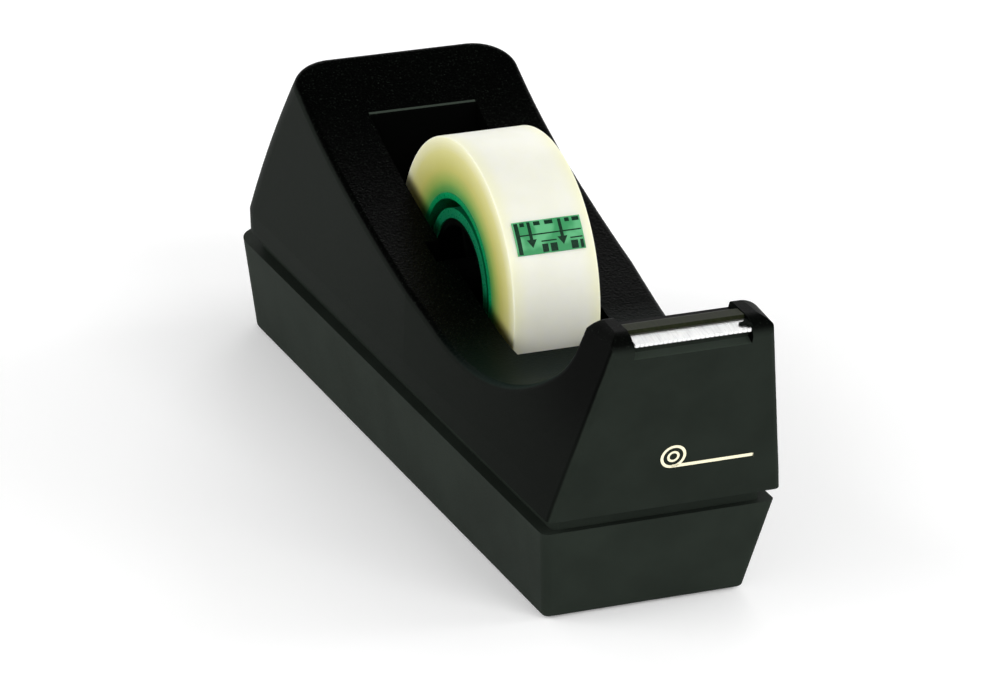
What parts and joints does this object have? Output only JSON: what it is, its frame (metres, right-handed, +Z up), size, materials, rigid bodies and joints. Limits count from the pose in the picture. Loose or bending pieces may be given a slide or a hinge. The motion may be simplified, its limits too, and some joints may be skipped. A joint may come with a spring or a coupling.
{
  "type": "desktop tape dispenser",
  "caption": "Weighted desktop tape dispenser with a leaning wedge body, an open well for a roll on a drop-in axle, and a serrated steel cutter on its nose.",
  "frame": {"origin": "centre of the bounding box in plan, at the table surface under the foot pad", "axes": "+Z up, +Y from the cutter towards the high rear, +X across the width"},
  "size_m": [0.0504, 0.1776, 0.0702],
  "materials": {
    "upper_housing": "fine satin grain on the sides, coarse sparkle grain on the top",
    "base_tub": "fine satin grain",
    "ballast_weight": "rough cast",
    "ballast_screws": "zinc plated",
    "housing_screws": "zinc plated",
    "foot_pad": "closed-cell foam",
    "cutter_blade": "bright rolled steel",
    "tape_rest": "smooth",
    "tape_rest_screws": "zinc plated",
    "hub_left": "satin",
    "hub_right": "satin",
    "axle_pin": "turned",
    "tape_core": "moulded, slightly see-through",
    "tape_roll": "wound matt adhesive tape",
    "starter_tab": "printed film"
  },
  "bodies": {
    "housing": {"upper_housing": "upper_housing", "base_tub": "base_tub", "ballast_weight": "ballast_weight", "ballast_screws": "ballast_screws", "housing_screws": "housing_screws", "foot_pad": "foot_pad", "cutter_blade": "cutter_blade", "tape_rest": "tape_rest", "tape_rest_screws": "tape_rest_screws"},
    "axle": {"axle_pin": "axle_pin"},
    "reel": {"hub_left": "hub_left", "hub_right": "hub_right", "tape_core": "tape_core", "tape_roll": "tape_roll", "starter_tab": "starter_tab"}
  },
  "joints": [
    {"name": "axle_lift", "type": "slide", "parent": "housing", "child": "axle", "axis": [0, 0, 1], "range_m": [0, 0.06]},
    {"name": "roll_spin", "type": "hinge", "parent": "axle", "child": "reel", "pos_m": [0, 0.003, 0.0406], "axis": [1, 0, 0], "continuous": true}
  ]
}
